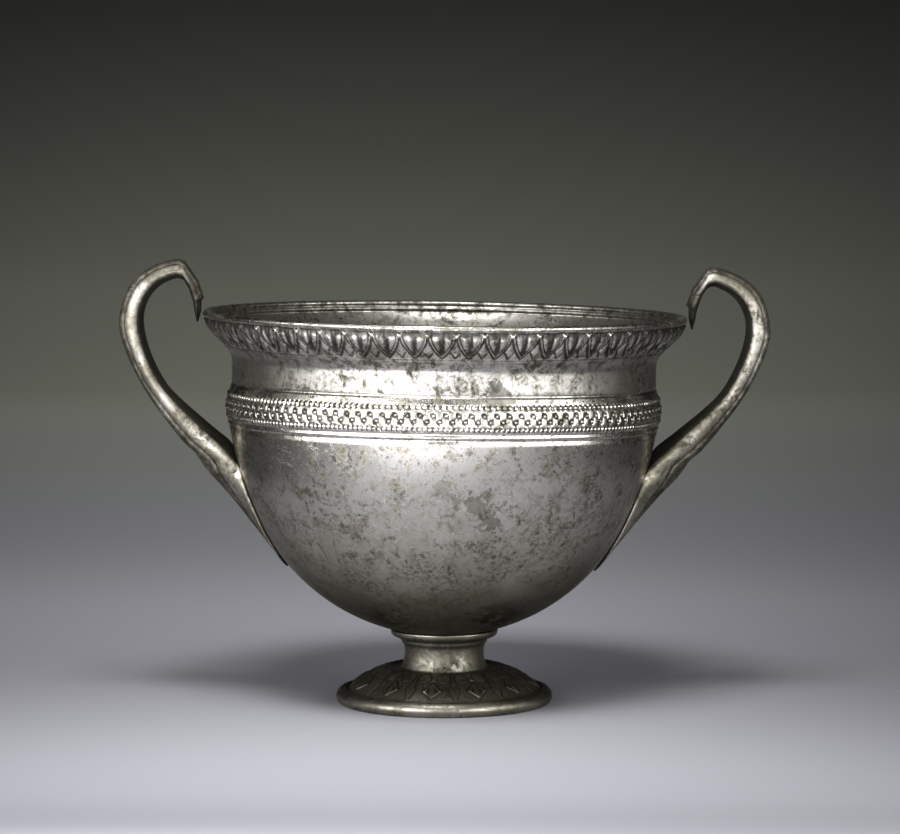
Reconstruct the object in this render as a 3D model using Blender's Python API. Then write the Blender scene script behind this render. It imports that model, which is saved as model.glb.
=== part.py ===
"""A two-handled silver drinking cup: a deep bowl on a stemmed foot, with two looped handles.

Metres, +Z up. The origin is at the centre of the foot's base, and the handles lie along X.
The bowl and its handles lean a little to the right on a level foot.
"""

import math

import bmesh
import bpy
from mathutils import Vector

# Bowl, with heights above its own underside
BOWL_HEIGHT = 0.0938
RIM_RADIUS = 0.0700
LIP_THICKNESS = 0.0023
LIP_ROUNDING = 0.0005
LIP_WIDEST_DROP = 0.0011
LIP_STRIP_HEIGHT = 0.0016
LIP_INNER_FACE = 0.0019
LIP_UNDERCUT = 0.0012
FLARE_HEIGHT = 0.0122
NECK_RADIUS = 0.0614
WALL = 0.0012
COLLAR_DROP = 0.0208
COLLAR_HEIGHT = 0.0121
COLLAR_BULGE = 0.00115
SHOULDER_RADIUS = 0.0620
GROOVE_DEPTH = 0.00035
GROOVE_REACH = 0.0012
BODY_RADIUS = 0.0590
BODY_BLEND_HEIGHT = 0.0335

# Ornament of the bowl
LEAF_COUNT = 56
LEAF_BAND_GAP = 0.0003
LEAF_BAND_HEIGHT = 0.0072
LEAF_RELIEF = 0.00045
EYE_PAIRS = 112
EYE_RELIEF = 0.0003
BEAD_RELIEF = 0.00035

# Foot, with heights above the table
FOOT_HEIGHT = 0.0215
SEAT_RADIUS = 0.0156
SEAT_WIDTH = 0.0018
SEAT_RING_HEIGHT = 0.0016
STEM_RADIUS = 0.0115
STEM_FOOT_FLARE = 0.0009
STEM_FOOT_HEIGHT = 0.0100
STEM_WALL = 0.0013
BASE_RADIUS = 0.0316
BASE_SHOULDER_RADIUS = 0.0168
BASE_SHOULDER_HEIGHT = 0.0106
BASE_SHOULDER_SLOPE = math.radians(14)
BASE_EDGE_HEIGHT = 0.0042
BASE_EDGE_WIDTH = 0.0037
BASE_EDGE_TUCK = 0.0011
BASE_WALL = 0.0016
PALMETTE_COUNT = 12
PALMETTE_RELIEF = 0.0005

# How the bowl sits on the foot
BOWL_LEAN = math.radians(0.9)
BOWL_OFFSET = -0.00125
SEAT_GAP = 0.0003

# Handles, with stations as outer x, outer z, inner x, inner z and half depth, in shares of the span
HANDLE_SPAN = 0.0250
HANDLE_END_STATIONS = (
    (0.052, -0.144, 0.072, -0.156, 0.032),
    (0.020, -0.016, 0.100, -0.032, 0.104),
    (0.020, 0.096, 0.116, 0.072, 0.136),
    (-0.008, 0.128, 0.132, 0.124, 0.168),
    (0.060, 0.328, 0.172, 0.240, 0.180),
)
HANDLE_LOOP_STATIONS = (
    (0.220, 0.552, 0.224, 0.324, 0.184),
    (0.344, 0.568, 0.316, 0.348, 0.184),
    (0.624, 0.468, 0.504, 0.256, 0.192),
    (0.856, 0.248, 0.636, 0.088, 0.200),
    (0.968, -0.152, 0.684, -0.144, 0.200),
    (0.876, -0.528, 0.612, -0.476, 0.200),
    (0.680, -0.916, 0.436, -0.832, 0.204),
)
HANDLE_ARM_STATIONS = (
    (0.816, 0.308, 0.588, 0.488, 0.212),
    (0.576, 0.012, 0.248, 0.200, 0.248),
)

# Handle plate on the bowl, with stations as shares of its length at its middle, of its length at its
# edge, of its rise and of its half width
PLATE_TOP_HEIGHT = 0.0549
PLATE_LENGTH = 0.0350
PLATE_RISE = 0.0111
PLATE_HALF_WIDTH = 0.0105
PLATE_EDGE = 0.0005
PLATE_STATIONS = (
    (0.00, 0.17, 1.00, 0.84),
    (0.14, 0.28, 0.82, 0.95),
    (0.31, 0.41, 0.54, 1.00),
    (0.48, 0.55, 0.33, 1.00),
    (0.65, 0.70, 0.18, 0.95),
    (0.82, 0.84, 0.09, 0.82),
    (0.94, 0.94, 0.05, 0.55),
    (1.00, 1.00, 0.04, 0.15),
)
PLATE_SPREAD_STATIONS = 4

# Handle section, as share of the way from the outer to the inner edge and share of the half depth
OUTER_FACE = (0.02, 0.52)
OUTER_STRIP = (0.17, 0.82)
HANDLE_GROOVE = (0.27, 0.72)
FRONT_RIDGE = (0.60, 1.00)
INNER_FACET = (0.82, 0.80)
INNER_MIDDLE = (0.92, 0.42)

# Places on the collar, as shares of its height from the top
COLLAR_SLOPE = (0.08, 0.18)
UPPER_BEADS = 0.24
GUILLOCHE = (0.32, 0.68)
EYE_ROWS = (0.43, 0.57)
LOWER_BEADS = 0.757
COLLAR_FOOT = (0.82, 0.95)

# Places in the leaf band, as shares of its height from the top
LEAF_ROWS = (0.15, 0.38, 0.62, 0.88)
LEAF_WAIST = 0.5

# Numbers of flat sides
PLAIN_SEGMENTS = 56
LEAF_SEGMENTS = 4 * LEAF_COUNT
EYE_SEGMENTS = 2 * EYE_PAIRS
STEM_SEGMENTS = 24
BASE_SEGMENTS = 4 * PALMETTE_COUNT
MERGE_DISTANCE = 0.000005

SILVER_COLOR = (0.50, 0.49, 0.46, 1.0)
SILVER_ROUGHNESS = 0.38


def clear_scene():
    for existing in list(bpy.data.objects):
        bpy.data.objects.remove(existing, do_unlink=True)


def silver(name):
    material = bpy.data.materials.new(name)
    material.use_nodes = True
    shader = material.node_tree.nodes["Principled BSDF"]
    shader.inputs["Base Color"].default_value = SILVER_COLOR
    shader.inputs["Metallic"].default_value = 1.0
    shader.inputs["Roughness"].default_value = SILVER_ROUGHNESS
    return material


def add_object(name, bm, collection, parent=None):
    bmesh.ops.recalc_face_normals(bm, faces=bm.faces)
    mesh = bpy.data.meshes.new(name)
    bm.to_mesh(mesh)
    bm.free()
    mesh.shade_smooth()
    mesh.set_sharp_from_angle(angle=math.radians(40))
    mesh.materials.append(silver(name))
    piece = bpy.data.objects.new(name, mesh)
    piece.parent = parent
    collection.objects.link(piece)
    return piece


def spin_zone(bm, profile, segments):
    """Turn a profile of radii and heights about Z, and return the swept points."""
    verts = [bm.verts.new((radius, 0.0, height)) for radius, height in profile]
    edges = [bm.edges.new(pair) for pair in zip(verts, verts[1:])]
    before = set(bm.verts) - set(verts)
    bmesh.ops.spin(
        bm, geom=verts + edges, cent=(0, 0, 0), axis=(0, 0, 1), angle=math.tau, steps=segments, use_merge=True
    )
    return set(bm.verts) - before


def raise_relief(verts, relief):
    """Move a zone's points outwards by a relief function of angle and height."""
    for vert in verts:
        angle = math.atan2(vert.co.y, vert.co.x)
        radius = math.hypot(vert.co.x, vert.co.y)
        scale = 1.0 + relief(angle, vert.co.z) / radius
        vert.co.x *= scale
        vert.co.y *= scale


def open_ring(bm, point):
    """The open edges of the ring that the profile point swept."""
    radius, height = point

    def on_ring(vert):
        off_height = abs(vert.co.z - height)
        off_radius = abs(math.hypot(vert.co.x, vert.co.y) - radius)
        return off_height < MERGE_DISTANCE and off_radius < MERGE_DISTANCE

    return [edge for edge in bm.edges if edge.is_boundary and all(on_ring(vert) for vert in edge.verts)]


def turned_mesh(zones):
    """One surface from zones of a profile, each with its own number of sides and relief."""
    bm = bmesh.new()
    swept = [spin_zone(bm, profile, segments) for profile, segments, _ in zones]
    bmesh.ops.remove_doubles(bm, verts=bm.verts, dist=MERGE_DISTANCE)
    for (upper, _, _), (lower, _, _) in zip(zones, zones[1:]):
        rings = open_ring(bm, upper[-1]) + open_ring(bm, lower[0])
        bmesh.ops.bridge_loops(bm, edges=rings)
    for verts, (_, _, relief) in zip(swept, zones):
        if relief:
            raise_relief([vert for vert in verts if vert.is_valid], relief)
    return bm


def tangent_arc(start, direction, end, steps):
    """Points after the start of the arc that leaves it along a direction and reaches the end."""
    chord = Vector(end) - Vector(start)
    turn = Vector(direction).angle_signed(chord)
    points = []
    for step in range(1, steps + 1):
        part = step / steps
        reach = part if abs(turn) < 1e-6 else math.sin(turn * part) / math.sin(turn)
        heading = math.atan2(chord.y, chord.x) + turn * (1.0 - part)
        offset = Vector((math.cos(heading), math.sin(heading))) * chord.length * reach
        points.append(tuple(Vector(start) + offset))
    return points


def round_body(inset, side_steps, round_steps):
    """The bowl's body below the collar, from its shoulder down to the axis, set in by an inset."""
    blend_angle = math.asin((BODY_RADIUS - BODY_BLEND_HEIGHT) / BODY_RADIUS)
    radius = BODY_RADIUS - inset
    blend = (radius * math.cos(blend_angle), BODY_RADIUS - radius * math.sin(blend_angle))
    shoulder = (SHOULDER_RADIUS - inset, lower_groove_height())
    upwards = (math.sin(blend_angle), math.cos(blend_angle))
    side = tangent_arc(blend, upwards, shoulder, side_steps)[::-1]
    points = side[1:] + [blend]
    for step in range(1, round_steps + 1):
        angle = blend_angle + (math.pi / 2 - blend_angle) * step / round_steps
        points.append((radius * math.cos(angle), BODY_RADIUS - radius * math.sin(angle)))
    points[-1] = (0.0, inset)
    return points


def upper_groove_height():
    return BOWL_HEIGHT - COLLAR_DROP


def lower_groove_height():
    return upper_groove_height() - COLLAR_HEIGHT


def flare_share(height):
    """How far up the flaring lip a height lies, from 0 at the neck to 1 at the lip's strip."""
    top = BOWL_HEIGHT - LIP_STRIP_HEIGHT - LIP_ROUNDING
    return min(max((height - top) / FLARE_HEIGHT + 1.0, 0.0), 1.0)


def flare_radius(height):
    """Outer radius of the lip's double curve, hollow below and round above."""
    widening = RIM_RADIUS - LIP_ROUNDING - NECK_RADIUS
    return NECK_RADIUS + widening * (1.0 - math.cos(math.pi * flare_share(height))) / 2


def inner_flare_radius(height):
    """Inner radius of the lip's curve, a wall's thickness in, measured square to the slope."""
    widening = RIM_RADIUS - LIP_ROUNDING - NECK_RADIUS
    slope = math.pi / 2 * widening / FLARE_HEIGHT * math.sin(math.pi * flare_share(height))
    return flare_radius(height) - WALL * math.hypot(1.0, slope)


def collar_point(share):
    """Point of the bulging collar, from 0 at its upper groove to 1 at its lower groove."""
    base = NECK_RADIUS + (SHOULDER_RADIUS - NECK_RADIUS) * share
    radius = base + COLLAR_BULGE * math.sin(math.pi * share)
    return radius, upper_groove_height() - COLLAR_HEIGHT * share


def bead_point(share):
    """Crest of a row of beads on the collar."""
    radius, height = collar_point(share)
    return radius + BEAD_RELIEF, height


def leaf_band_top():
    return BOWL_HEIGHT - LIP_STRIP_HEIGHT - LEAF_BAND_GAP


def leaf_relief(angle, height):
    """Leaf band: leaves with two lobes and a midrib, and a sunk ground between them."""
    down = (leaf_band_top() - height) / LEAF_BAND_HEIGHT
    column = round(angle / math.tau * LEAF_SEGMENTS) % 4
    if column == 2:
        return -LEAF_RELIEF
    if column == 0:
        return LEAF_RELIEF * (0.2 if down < LEAF_WAIST else 0.9)
    return LEAF_RELIEF * (1.0 if down < LEAF_WAIST else -0.5)


def eye_relief(angle, height):
    """Guilloche: two staggered rows of raised eyes."""
    upper_row = height > collar_point(sum(EYE_ROWS) / 2)[1]
    column = round(angle / math.tau * EYE_SEGMENTS) % 2
    return EYE_RELIEF * (1.0 if upper_row == (column == 0) else -1.0)


def inner_profile():
    """The inside, from the middle of the bottom to just under the lip."""
    groove = upper_groove_height()
    points = round_body(WALL, 3, 4)[::-1]
    points.append((SHOULDER_RADIUS - WALL, lower_groove_height()))
    points.append((NECK_RADIUS - WALL, groove))
    flare_foot = leaf_band_top() - LEAF_BAND_HEIGHT
    flare_top = BOWL_HEIGHT - LIP_INNER_FACE - 2 * LIP_UNDERCUT
    heights = (groove + (flare_foot - groove) / 2, flare_foot, (flare_foot + flare_top) / 2)
    points += [(inner_flare_radius(height), height) for height in heights]
    return points


def lip_profile():
    """The lip, from its inner moulding over the top to the lower edge of its outer strip."""
    inner = RIM_RADIUS - LIP_THICKNESS
    top = BOWL_HEIGHT
    return [
        (inner + LIP_ROUNDING / 2, top - LIP_INNER_FACE - LIP_UNDERCUT),
        (inner, top - LIP_INNER_FACE),
        (inner + LIP_ROUNDING, top - LIP_ROUNDING),
        (RIM_RADIUS - LIP_ROUNDING, top),
        (RIM_RADIUS, top - LIP_WIDEST_DROP),
        (RIM_RADIUS - LIP_ROUNDING / 2, top - LIP_STRIP_HEIGHT),
        (flare_radius(leaf_band_top()), leaf_band_top()),
    ]


def neck_profile():
    """The neck, from under the leaf band to the upper row of beads on the collar."""
    band_foot = leaf_band_top() - LEAF_BAND_HEIGHT
    groove = upper_groove_height()
    heights = (band_foot, band_foot - LEAF_BAND_HEIGHT / 2)
    points = [(flare_radius(height), height) for height in heights]
    points.append((NECK_RADIUS, groove + GROOVE_REACH))
    points.append((NECK_RADIUS - GROOVE_DEPTH, groove))
    points += [collar_point(share) for share in COLLAR_SLOPE]
    return points + [bead_point(UPPER_BEADS), collar_point(GUILLOCHE[0])]


def body_profile():
    """The body, from under the guilloche to the middle of the underside."""
    groove = lower_groove_height()
    points = [collar_point(GUILLOCHE[1]), bead_point(LOWER_BEADS)]
    points += [collar_point(share) for share in COLLAR_FOOT]
    points.append((SHOULDER_RADIUS - GROOVE_DEPTH, groove))
    points.append((SHOULDER_RADIUS, groove - GROOVE_REACH / 2))
    return points + round_body(0.0, 4, 5)


def bowl_zones():
    """The bowl's profile from the middle of the inside, over the lip, to the middle of the underside."""
    leaf_heights = [leaf_band_top() - LEAF_BAND_HEIGHT * share for share in LEAF_ROWS]
    leaves = [(flare_radius(height), height) for height in leaf_heights]
    eyes = [collar_point(share) for share in EYE_ROWS]
    return [
        (inner_profile() + lip_profile(), PLAIN_SEGMENTS, None),
        (leaves, LEAF_SEGMENTS, leaf_relief),
        (neck_profile(), PLAIN_SEGMENTS, None),
        (eyes, EYE_SEGMENTS, eye_relief),
        (body_profile(), PLAIN_SEGMENTS, None),
    ]


def seat_height(x, y):
    """Height of the foot's seat at a place, a gap below the round underside of the leaning bowl."""
    centre = bowl_origin() + Vector((math.sin(BOWL_LEAN), 0.0, math.cos(BOWL_LEAN))) * BODY_RADIUS
    reach = BODY_RADIUS + SEAT_GAP
    return centre.z - math.sqrt(reach ** 2 - (x - centre.x) ** 2 - y ** 2)


def bowl_origin():
    """Where the middle of the bowl's underside lies."""
    drop = BODY_RADIUS - math.sqrt(BODY_RADIUS ** 2 - SEAT_RADIUS ** 2)
    return Vector((BOWL_OFFSET, 0.0, FOOT_HEIGHT - drop + SEAT_GAP))


def palmette_relief(angle, height):
    """Palmettes round the foot, with sunk darts between them."""
    down = (BASE_SHOULDER_HEIGHT - height) / (BASE_SHOULDER_HEIGHT - BASE_EDGE_HEIGHT)
    if down < 0.05 or down > 0.95:
        return 0.0
    column = round(angle / math.tau * BASE_SEGMENTS) % 4
    if column == 0:
        return PALMETTE_RELIEF
    if column == 2:
        return -PALMETTE_RELIEF
    return PALMETTE_RELIEF * (0.4 if 0.3 < down < 0.8 else -0.4)


def base_slope():
    """The convex ornament band of the base, from its shoulder out to the groove inside the edge."""
    shoulder = (BASE_SHOULDER_RADIUS, BASE_SHOULDER_HEIGHT)
    groove = (BASE_RADIUS - BASE_EDGE_WIDTH, BASE_EDGE_HEIGHT)
    outwards = (math.cos(BASE_SHOULDER_SLOPE), -math.sin(BASE_SHOULDER_SLOPE))
    return [shoulder] + tangent_arc(shoulder, outwards, groove, 4)


def stem_profile():
    """The ring under the bowl and the waisted stem, down to its foot."""
    ring_foot = FOOT_HEIGHT - SEAT_RING_HEIGHT
    waist = (ring_foot + STEM_FOOT_HEIGHT) / 2
    return [
        (SEAT_RADIUS, FOOT_HEIGHT),
        (SEAT_RADIUS - WALL / 3, ring_foot),
        (SEAT_RADIUS - SEAT_WIDTH - WALL, ring_foot - WALL),
        (STEM_RADIUS + WALL / 6, ring_foot - SEAT_WIDTH - WALL),
        (STEM_RADIUS, waist),
        (STEM_RADIUS + STEM_FOOT_FLARE, STEM_FOOT_HEIGHT),
    ]


def foot_zones():
    """The foot's profile from the seat, down the stem and over the base, to the inside of the stem."""
    throat = STEM_RADIUS - STEM_WALL
    slope = base_slope()
    edge = [
        (BASE_RADIUS - BASE_EDGE_WIDTH / 2, BASE_EDGE_HEIGHT),
        (BASE_RADIUS, BASE_EDGE_HEIGHT - BASE_EDGE_TUCK),
        (BASE_RADIUS, BASE_EDGE_TUCK),
        (BASE_RADIUS - BASE_EDGE_TUCK, 0.0),
        (BASE_RADIUS - BASE_EDGE_WIDTH, 0.0),
    ]
    underside = [(radius - BASE_WALL / 2, height - BASE_WALL) for radius, height in slope[3::-2]]
    hollow = [
        (throat, STEM_FOOT_HEIGHT - BASE_WALL),
        (throat, FOOT_HEIGHT - SEAT_RING_HEIGHT - 2 * WALL),
        (SEAT_RADIUS - SEAT_WIDTH, FOOT_HEIGHT),
    ]
    return [
        (stem_profile(), STEM_SEGMENTS, None),
        (slope, BASE_SEGMENTS, palmette_relief),
        (edge + underside, BASE_SEGMENTS, None),
        (hollow, STEM_SEGMENTS, None),
    ]


def foot_mesh():
    bm = turned_mesh(foot_zones())
    seat = [vert for vert in bm.verts if abs(vert.co.z - FOOT_HEIGHT) < MERGE_DISTANCE]
    seat_edges = [edge for edge in bm.edges if edge.is_boundary]
    bmesh.ops.bridge_loops(bm, edges=seat_edges)
    for vert in seat:
        vert.co.z = seat_height(vert.co.x, vert.co.y)
    return bm


def body_radius_at(height):
    """Outer radius of the bowl's body at a height, from its profile."""
    profile = [(SHOULDER_RADIUS, lower_groove_height())] + round_body(0.0, 24, 48)
    for (upper_radius, upper), (lower_radius, lower) in zip(profile, profile[1:]):
        if lower <= height <= upper:
            share = (upper - height) / (upper - lower)
            return upper_radius + (lower_radius - upper_radius) * share
    return SHOULDER_RADIUS


def body_slope_at(height):
    """Direction square to the bowl's body at a height, as outwards and up."""
    step = 0.0005
    lean = (body_radius_at(height + step) - body_radius_at(height - step)) / (2 * step)
    return Vector((1.0, -lean)).normalized()


def over_body(height, side, rise):
    """Point over the bowl's body at a height and a distance to one side, raised by the gap and a rise."""
    square = body_slope_at(height)
    radius = body_radius_at(height) + square.x * (SEAT_GAP + rise)
    return Vector((math.sqrt(radius ** 2 - side ** 2), side, height + square.y * (SEAT_GAP + rise)))


def bar_section(station):
    """Half of a bar's section, from the middle of its outer face to its inner keel."""
    outer_x, outer_z, inner_x, inner_z, depth = station
    outer = Vector((outer_x, 0.0, outer_z))
    across = Vector((inner_x, 0.0, inner_z)) - outer
    shares = (OUTER_FACE, OUTER_STRIP, HANDLE_GROOVE, FRONT_RIDGE, INNER_FACET, INNER_MIDDLE)
    points = [outer]
    points += [outer + across * share + Vector((0.0, depth * side, 0.0)) for share, side in shares]
    points.append(outer + across)
    return points


def plate_section(station, spread):
    """Half of the plate's section: a ridge on the outside, the bowl's own curve underneath."""
    centre, side_drop, rise, side_width = station
    centre_height = PLATE_TOP_HEIGHT - centre * PLATE_LENGTH
    edge_height = PLATE_TOP_HEIGHT - side_drop * PLATE_LENGTH
    width = side_width * PLATE_HALF_WIDTH
    ridge = over_body(centre_height, 0.0, rise * PLATE_RISE)
    edge = over_body(edge_height, width, PLATE_EDGE)
    points = [ridge]
    for across, side in (OUTER_FACE, OUTER_STRIP, HANDLE_GROOVE):
        share = across / FRONT_RIDGE[0]
        point = ridge.lerp(edge, share)
        point.y = width * (side + (share - side) * spread)
        points.append(point)
    points.append(edge)
    points.append(over_body(edge_height, width, 0.0))
    points.append(over_body((centre_height + edge_height) / 2, width / 2, 0.0))
    points.append(over_body(centre_height, 0.0, 0.0))
    return points


def moved(stations, x, z):
    """Stations in metres, from shares of the handle's span, moved to a place."""
    scaled = [[share * HANDLE_SPAN for share in station] for station in stations]
    return [(a + x, b + z, c + x, d + z, depth) for a, b, c, d, depth in scaled]


def handle_sections():
    """Half sections of a handle from the tip of its down-turned end to the tail of its plate."""
    stations = moved(HANDLE_END_STATIONS + HANDLE_LOOP_STATIONS, RIM_RADIUS, BOWL_HEIGHT)
    stations += moved(HANDLE_ARM_STATIONS, body_radius_at(PLATE_TOP_HEIGHT), PLATE_TOP_HEIGHT)
    sections = [bar_section(station) for station in stations]
    for index, station in enumerate(PLATE_STATIONS):
        spread = min((index + 1) / PLATE_SPREAD_STATIONS, 1.0)
        sections.append(plate_section(station, spread))
    return sections


def handle_mesh(side):
    """A handle lofted through its sections, on the side of X given by 1 or -1."""
    bm = bmesh.new()
    rings = []
    for half in handle_sections():
        front = [Vector((side * point.x, -point.y, point.z)) for point in half]
        back = [Vector((side * point.x, point.y, point.z)) for point in half[-2:0:-1]]
        rings.append([bm.verts.new(point) for point in front + back])
    for ring, following in zip(rings, rings[1:]):
        for index in range(len(ring)):
            after = (index + 1) % len(ring)
            bm.faces.new((ring[index], ring[after], following[after], following[index]))
    bm.faces.new(rings[0])
    bm.faces.new(rings[-1])
    bmesh.ops.triangulate(bm, faces=bm.faces)
    return bm


def build():
    clear_scene()
    collection = bpy.data.collections.new("silver_drinking_cup")
    bpy.context.scene.collection.children.link(collection)
    bowl_frame = bpy.data.objects.new("bowl_frame", None)
    bowl_frame.location = bowl_origin()
    bowl_frame.rotation_euler.y = BOWL_LEAN
    collection.objects.link(bowl_frame)
    add_object("bowl", turned_mesh(bowl_zones()), collection, bowl_frame)
    add_object("foot", foot_mesh(), collection)
    add_object("handle_left", handle_mesh(-1), collection, bowl_frame)
    add_object("handle_right", handle_mesh(1), collection, bowl_frame)


build()
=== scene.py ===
"""Looks of the silver drinking cup: worked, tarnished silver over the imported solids.

Metres, +Z up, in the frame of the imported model. Heights of the bowl are above its own underside.
"""

import math

import bmesh
import bpy
from mathutils import Matrix, Vector, noise


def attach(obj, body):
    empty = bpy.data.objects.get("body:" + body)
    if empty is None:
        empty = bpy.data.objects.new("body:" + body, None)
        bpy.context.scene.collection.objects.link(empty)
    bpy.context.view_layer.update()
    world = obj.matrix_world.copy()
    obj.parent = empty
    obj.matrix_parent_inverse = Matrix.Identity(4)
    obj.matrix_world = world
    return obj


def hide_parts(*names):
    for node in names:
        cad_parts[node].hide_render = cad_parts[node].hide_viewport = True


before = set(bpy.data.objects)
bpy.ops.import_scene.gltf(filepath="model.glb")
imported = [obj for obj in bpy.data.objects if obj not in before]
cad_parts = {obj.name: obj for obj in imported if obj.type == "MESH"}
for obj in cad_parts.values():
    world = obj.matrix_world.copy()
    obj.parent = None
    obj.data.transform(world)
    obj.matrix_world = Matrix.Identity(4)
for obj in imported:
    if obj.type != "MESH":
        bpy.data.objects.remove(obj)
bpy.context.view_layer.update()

# Bowl
BOWL_HEIGHT = 0.0938
RIM_RADIUS = 0.0700
LIP_STRIP_HEIGHT = 0.0016
LIP_ROUNDING = 0.0005
FLARE_HEIGHT = 0.0122
NECK_RADIUS = 0.0614
WALL = 0.0012
COLLAR_DROP = 0.0208
COLLAR_HEIGHT = 0.0121
COLLAR_BULGE = 0.00115
SHOULDER_RADIUS = 0.0620
GROOVE_DEPTH = 0.00035
BODY_RADIUS = 0.0590
BODY_BLEND_HEIGHT = 0.0335
UPPER_GROOVE = BOWL_HEIGHT - COLLAR_DROP
LOWER_GROOVE = UPPER_GROOVE - COLLAR_HEIGHT

# Slow unevenness of the raised wall, as noise scale, depth and shift, and the collar's rise in front
WALL_WAVES = ((2.6, 0.00045, (3.1, 0.0, 0.0)), (6.5, 0.00014, (0.0, 7.3, 0.0)))
COLLAR_SWAY = 0.0011

# Leaf band under the lip
LEAF_COUNT = 56
LEAF_TURN = 0.08
LEAF_BAND_TOP = BOWL_HEIGHT - LIP_STRIP_HEIGHT - 0.0003
LEAF_BAND_HEIGHT = 0.0078
LEAF_HALF_PITCH = math.pi * 0.0675 / LEAF_COUNT
OUTER_LEAF = (0.97, 0.20, 0.75, 1.7)
INNER_LEAF = (0.74, 0.15, 0.66, 1.9)

LEAF_GROUND = 0.00030
LEAF_RISE = 0.00042
LOBE_RISE = 0.00046
MIDRIB_RISE = 0.00030
LEAF_LINE_DEPTH = 0.00024
LEAF_BEAD_RADIUS = 0.00046
LEAF_BEAD_RISE = 0.00040
DART_WIDTH = 0.00125
DART_RISE = 0.00035

# Collar, with its rows in shares of its height
BEAD_COUNT = 230
BEAD_ROW = 0.241
BEAD_SIZE = 0.00066
BEAD_RISE = 0.00050
DASH_COUNT = 276
DASH_ROW = 0.757
DASH_SIZE = 0.00058
DASH_RISE = 0.00044
GUILLOCHE_COUNT = 112
GUILLOCHE_TOP = 0.33
GUILLOCHE_FOOT = 0.67
GUILLOCHE_RISE = 0.00012
EYE_RADIUS = 0.00040
EYE_RISE = 0.00034
EYE_RING_RADIUS = 0.00056
EYE_RING_DEPTH = 0.00030
BAND_LINE_DEPTH = 0.00018
COLLAR_BORDERS = (0.305, 0.70)
BORDER_WIDTH = 0.00012
WORKED_COLLAR = (0.18, 0.82)

# Stains on the side away from +Y, as x, height and size; the last and largest, low on the bowl over the foot,
# is part stain and part painted shade under the bowl
STAINS = (
    (-0.0004, 0.0484, 0.0027),
    (0.0030, 0.0452, 0.0020),
    (0.0088, 0.0442, 0.0026),
    (0.0122, 0.0412, 0.0027),
    (0.0142, 0.0385, 0.0022),
    (0.0316, 0.0570, 0.0026),
    (0.0150, 0.0735, 0.0042),
    (-0.0190, 0.0860, 0.0050),
    (0.0010, 0.0030, 0.0150),
)

# Foot
FOOT_HEIGHT = 0.0215
SEAT_RADIUS = 0.0156
SEAT_WIDTH = 0.0018
SEAT_RING_HEIGHT = 0.0016
STEM_RADIUS = 0.0115
STEM_FOOT_FLARE = 0.0009
STEM_FOOT_HEIGHT = 0.0100
STEM_WALL = 0.0013
BASE_RADIUS = 0.0316
BASE_SHOULDER_RADIUS = 0.0168
BASE_SHOULDER_HEIGHT = 0.0106
BASE_SHOULDER_SLOPE = math.radians(14)
BASE_EDGE_HEIGHT = 0.0042
BASE_EDGE_WIDTH = 0.0037
BASE_WALL = 0.0016
PALMETTE_COUNT = 12
PALMETTE_TURN = 0.267
PALMETTE_HALF_WIDTH = 0.0026
PALMETTE_MIDDLE = 0.60
PALMETTE_HALF_LENGTH = 0.30
PALMETTE_BEAD_PLACE = 0.22
RIB_FREQUENCY = 13.0
RIB_RISE = 0.00036
PALMETTE_LINE_WIDTH = 0.00024
PALMETTE_LINE_DEPTH = 0.00022

# How the bowl sits on the foot
BOWL_LEAN = math.radians(0.9)
BOWL_OFFSET = -0.00125
SEAT_GAP = 0.0003

# Handles, with stations as outer x, outer z, inner x, inner z and half depth, in shares of the span
HANDLE_SPAN = 0.0250
HANDLE_END_STATIONS = (
    (0.052, -0.144, 0.072, -0.156, 0.032),
    (0.020, -0.016, 0.100, -0.032, 0.104),
    (0.020, 0.096, 0.116, 0.072, 0.136),
    (-0.008, 0.128, 0.132, 0.124, 0.168),
    (0.060, 0.328, 0.172, 0.240, 0.180),
    (0.220, 0.552, 0.224, 0.324, 0.184),
)
HANDLE_LOOP_STATIONS = (
    (0.344, 0.568, 0.316, 0.348, 0.184),
    (0.624, 0.468, 0.504, 0.256, 0.192),
    (0.856, 0.248, 0.636, 0.088, 0.200),
    (0.968, -0.152, 0.684, -0.144, 0.200),
    (0.876, -0.528, 0.612, -0.476, 0.200),
    (0.680, -0.916, 0.436, -0.832, 0.204),
)
HANDLE_ARM_STATIONS = (
    (0.816, 0.308, 0.588, 0.488, 0.212),
    (0.576, 0.012, 0.248, 0.200, 0.248),
)
PLATE_TOP_HEIGHT = 0.0549
PLATE_LENGTH = 0.0350
PLATE_RISE = 0.0111
PLATE_HALF_WIDTH = 0.0105
PLATE_EDGE = 0.0005
PLATE_STATIONS = (
    (0.00, 0.17, 1.00, 0.84),
    (0.14, 0.28, 0.82, 0.95),
    (0.31, 0.41, 0.54, 1.00),
    (0.48, 0.55, 0.33, 1.00),
    (0.65, 0.70, 0.18, 0.95),
    (0.82, 0.84, 0.09, 0.82),
    (0.94, 0.94, 0.05, 0.55),
    (1.00, 1.00, 0.04, 0.15),
)
PLATE_SPREAD_STATIONS = 4
STEPS_PER_STATION = 8

# Handle section, as share of the way from the outer to the inner edge and share of the half depth
HANDLE_FACE = (
    (0.000, 0.00), (0.003, 0.28), (0.020, 0.50), (0.070, 0.66), (0.150, 0.77), (0.190, 0.795),
    (0.225, 0.79), (0.250, 0.755), (0.275, 0.77), (0.300, 0.82), (0.360, 0.89), (0.450, 0.95),
    (0.530, 0.985), (0.600, 1.00),
)
HANDLE_UNDERSIDE = (
    (0.660, 0.965), (0.740, 0.89), (0.800, 0.82), (0.840, 0.76), (0.880, 0.60), (0.920, 0.42),
    (0.970, 0.22), (1.000, 0.00),
)

# Numbers of flat sides
WORKED_SEGMENTS = 24 * LEAF_COUNT
PLAIN_SEGMENTS = 208
PALMETTE_SEGMENTS = 96 * PALMETTE_COUNT
STEM_SEGMENTS = 96
SECTORS = 16
MERGE_DISTANCE = 0.000004

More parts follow.
